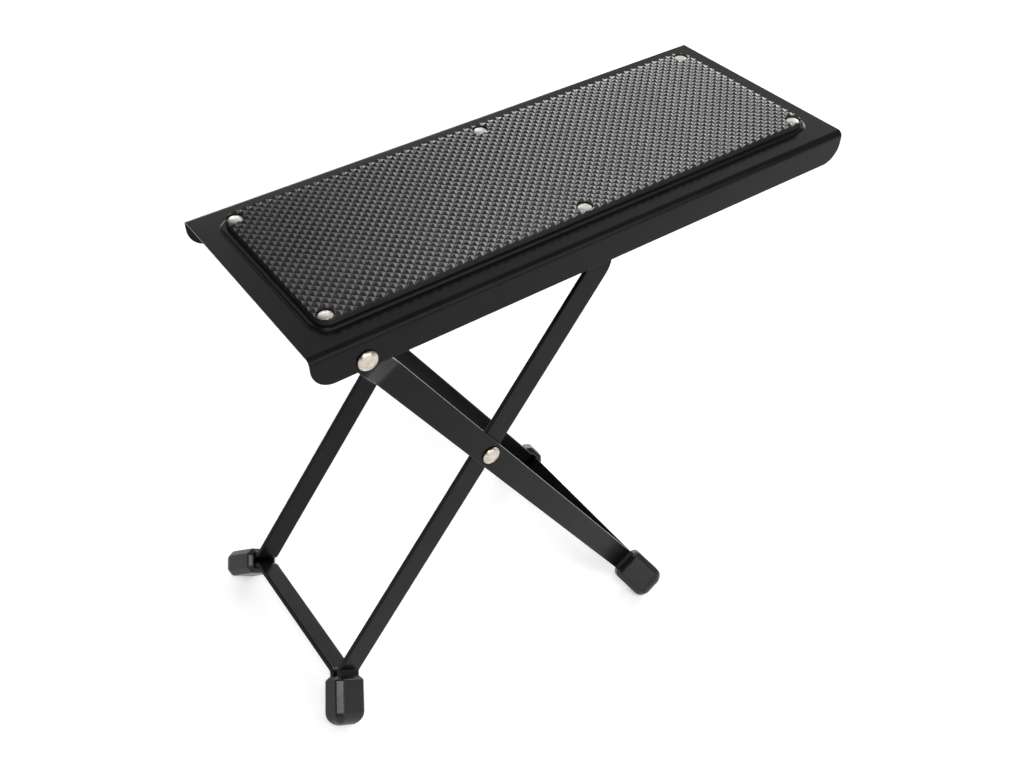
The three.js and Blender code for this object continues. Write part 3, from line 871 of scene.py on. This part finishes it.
def cap_ring(inset, level):
    """Octagon, narrower across the ear's layers than along the bar's width."""
    half_depth, half_width = cap_depth / 2 - inset, cap_width / 2 - inset
    chamfer = min(cap_chamfer, half_depth * cap_chamfer * 2 / cap_depth)
    points = []
    for sign_x, sign_y in ((1, 1), (-1, 1), (-1, -1), (1, -1)):
        pair = [(sign_x * half_depth, sign_y * (half_width - chamfer))]
        pair.append((sign_x * (half_depth - chamfer), sign_y * half_width))
        points += pair if sign_x * sign_y > 0 else pair[::-1]
    return [Vector((x, y, level)) for x, y in points]


def cap_body():
    flat_end = cap_mouth_length + cap_flat_length
    rings = [cap_ring(cap_mouth_bevel, 0), cap_ring(0, cap_mouth_length)]
    for k in range(arc_steps + 1):
        angle = cap_dome_angle * k / arc_steps
        inset = cap_depth / 2 * (1 - math.cos(angle)) - cap_draft / 2
        rings.append(cap_ring(inset, flat_end + cap_dome * math.sin(angle) / math.sin(cap_dome_angle)))
    bm = loft(rings)
    # New faces have no normals until then, and without them no edge counts as a corner
    bm.normal_update()
    corners = [edge for edge in bm.edges if is_corner(edge, cap_edge_angle)]
    round_edges(bm, corners, cap_edge_radius, cap_edge_steps)
    return bm


def foot_cap(node, corner, leg_sign, out, place, body):
    piece = new_object(f"{node}_rubber", cap_body())
    pocket_half = ear_half_pitch + bar_half + cap_pocket_clearance
    pocket_end = ear_length + bar_half + cap_pocket_clearance - cap_mouth_setback
    path = rounded_path([
        (Vector((-pocket_half, -cut_overrun)), 0),
        (Vector((pocket_half, -cut_overrun)), 0),
        (Vector((pocket_half, pocket_end)), pocket_half),
        (Vector((-pocket_half, pocket_end)), pocket_half),
    ], closed=True)
    pocket_width = bar_width / 2 + cap_pocket_clearance
    ring = [Vector((at.x, -pocket_width, at.y)) for at, _ in path]
    far = [Vector((point.x, pocket_width, point.z)) for point in ring]
    boolean(piece, new_object("pocket", loft([ring, far])), "DIFFERENCE")
    along = Vector((leg_sign, out)).normalized()
    start = corner + along * cap_mouth_setback
    turn = Matrix((
        (-along.y, 0, along.x, start.x),
        (along.x, 0, along.y, start.y),
        (0, 1, 0, 0),
        (0, 0, 0, 1),
    ))
    piece.data.transform(place @ turn)
    shade(piece, turned_sharp)
    return finish_piece(piece, node, body, CAP_RUBBER)


def foot_caps():
    for side, out in SIDES:
        right = Vector((pivot_to_cross + cross_to_right_feet, out * outer_line))
        foot_cap(f"foot_cap_{side}_right", right, 1, out, outer_place, "outer_leg_frame")
        left = Vector((-cross_to_left_feet, out * inner_line))
        foot_cap(f"foot_cap_{side}_left", left, -1, out, inner_place, "inner_leg_frame")


# Height rack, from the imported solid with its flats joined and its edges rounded

def height_rack():
    bm = bmesh.new()
    bm.from_mesh(frame["nodes"]["height_rack"].data)
    bmesh.ops.remove_doubles(bm, verts=bm.verts, dist=same_point * MM)
    bmesh.ops.dissolve_limit(bm, angle_limit=math.radians(flat_angle), verts=bm.verts, edges=bm.edges)
    rims = [edge for edge in bm.edges if is_corner(edge, rack_edge_angle)]
    round_edges(bm, rims, rim_rounding * MM, rack_edge_steps)
    piece = new_object("height_rack_steel", bm)
    shade(piece)
    return finish_piece(piece, "height_rack", "foot_plate", POWDER)


foot_plate()
rubber_mat()
mat_rivets()
height_rack()
pivot_set(
    "plate_pivot", pivot_place, "plate_pivots",
    head_level=plate_width / 2 + seat_gap,
    spacer_level=flange_inside - seat_gap - spacer_thickness / 2,
    leg_inner=pivot_leg_outer - bar_thickness,
)
outer_leg_frame()
pivot_set(
    "cross_pivot", cross_place, "outer_leg_frame",
    head_level=outer_leg_outer + seat_gap,
    spacer_level=inner_leg_outer + seat_gap + spacer_thickness / 2,
    leg_inner=inner_leg_outer - bar_thickness,
)
inner_leg_frame()
foot_caps()


# Floor, light and camera

def glow(material, shader):
    """Floor's own light for camera, glossy and transmission rays: it looks white to its far end."""
    nodes, links = material.node_tree.nodes, material.node_tree.links
    path = nodes.new("ShaderNodeLightPath")
    seen = path.outputs["Is Camera Ray"]
    for kind in ("Is Glossy Ray", "Is Transmission Ray"):
        join = nodes.new("ShaderNodeMath")
        join.operation = "MAXIMUM"
        links.new(seen, join.inputs[0])
        links.new(path.outputs[kind], join.inputs[1])
        seen = join.outputs["Value"]
    place = nodes.new("ShaderNodeTexCoord")
    distance = nodes.new("ShaderNodeVectorMath")
    distance.operation = "LENGTH"
    links.new(place.outputs["Object"], distance.inputs[0])
    level = nodes.new("ShaderNodeMapRange")
    level.inputs["From Min"].default_value = floor_glow_reach
    level.inputs["From Max"].default_value = far_floor_glow_start
    level.inputs["To Min"].default_value = floor_glow
    level.inputs["To Max"].default_value = far_floor_glow
    links.new(distance.outputs["Value"], level.inputs["Value"])
    strength = nodes.new("ShaderNodeMath")
    strength.operation = "MULTIPLY"
    links.new(seen, strength.inputs[0])
    links.new(level.outputs["Result"], strength.inputs[1])
    links.new(strength.outputs["Value"], shader.inputs["Emission Strength"])


def floor():
    bm = bmesh.new()
    turns = [2 * math.pi * k / round_steps for k in range(round_steps)]
    rim = [(floor_reach * math.cos(a), floor_reach * math.sin(a)) for a in turns]
    low = add_ring(bm, [(x, y, 0) for x, y in rim])
    bm.faces.new(low)
    join_rings(bm, low, add_ring(bm, [(x, y, backdrop_height) for x, y in rim]))
    piece = new_object("floor", bm)
    material, shader = principled("pale_floor", (floor_grey,) * 3, roughness=0.9, specular=0.0)
    shader.inputs["Emission Color"].default_value = (1, 1, 1, 1)
    glow(material, shader)
    piece.data.materials.append(material)


def world():
    sky = bpy.data.worlds.new("studio")
    sky.use_nodes = True
    shader = sky.node_tree.nodes["Background"]
    shader.inputs["Color"].default_value = (1, 1, 1, 1)
    nodes, links = sky.node_tree.nodes, sky.node_tree.links
    place = nodes.new("ShaderNodeTexCoord")
    along = nodes.new("ShaderNodeVectorMath")
    along.operation = "DOT_PRODUCT"
    along.inputs[1].default_value = sky_way
    fade = nodes.new("ShaderNodeMapRange")
    fade.inputs["From Min"].default_value = sky_fade_start
    fade.inputs["From Max"].default_value = sky_fade_end
    fade.inputs["To Min"].default_value = sky_dark
    fade.inputs["To Max"].default_value = sky_light
    links.new(place.outputs["Generated"], along.inputs[0])
    links.new(along.outputs["Value"], fade.inputs["Value"])
    links.new(fade.outputs["Result"], shader.inputs["Strength"])
    bpy.context.scene.world = sky


def soft_box(name, azimuth, elevation, width, height, brightness):
    """Lamp on the dome that faces its centre."""
    lamp = bpy.data.lights.new(name, "AREA")
    lamp.shape = "RECTANGLE"
    lamp.size, lamp.size_y = width, height
    lamp.energy = brightness * math.pi * width * height
    turn, rise = math.radians(azimuth), math.radians(elevation)
    way = Vector((math.cos(rise) * math.cos(turn), math.cos(rise) * math.sin(turn), math.sin(rise)))
    piece = bpy.data.objects.new(name, lamp)
    piece.location = dome_centre + way * dome_radius
    piece.rotation_euler = way.to_track_quat("Z", "Y").to_euler()
    bpy.context.scene.collection.objects.link(piece)


def camera():
    back = Vector((
        math.sin(camera_azimuth) * math.cos(camera_elevation),
        -math.cos(camera_azimuth) * math.cos(camera_elevation),
        math.sin(camera_elevation),
    ))
    right = (-back).cross(Vector((0, 0, 1))).normalized()
    up = right.cross(-back)
    turn = Matrix.Rotation(camera_roll, 3, back)
    right, up = turn @ right, turn @ up
    local = Matrix((right, up, back)).transposed().to_4x4()
    spot = plate_place @ Vector(camera_place)
    facing = (plate_place.to_3x3() * (1 / MM)) @ local.to_3x3()
    lens = bpy.data.cameras.new("camera")
    lens.sensor_width = sensor_width
    lens.lens = camera_focal_pixels * sensor_width / picture_width_pixels
    lens.clip_start = camera_clip_start
    piece = bpy.data.objects.new("camera", lens)
    piece.matrix_world = Matrix.Translation(spot) @ facing.to_4x4()
    bpy.context.scene.collection.objects.link(piece)
    bpy.context.scene.camera = piece


floor()
world()
for box in soft_boxes:
    soft_box(*box)
camera()
bpy.context.scene.view_settings.view_transform = "Standard"
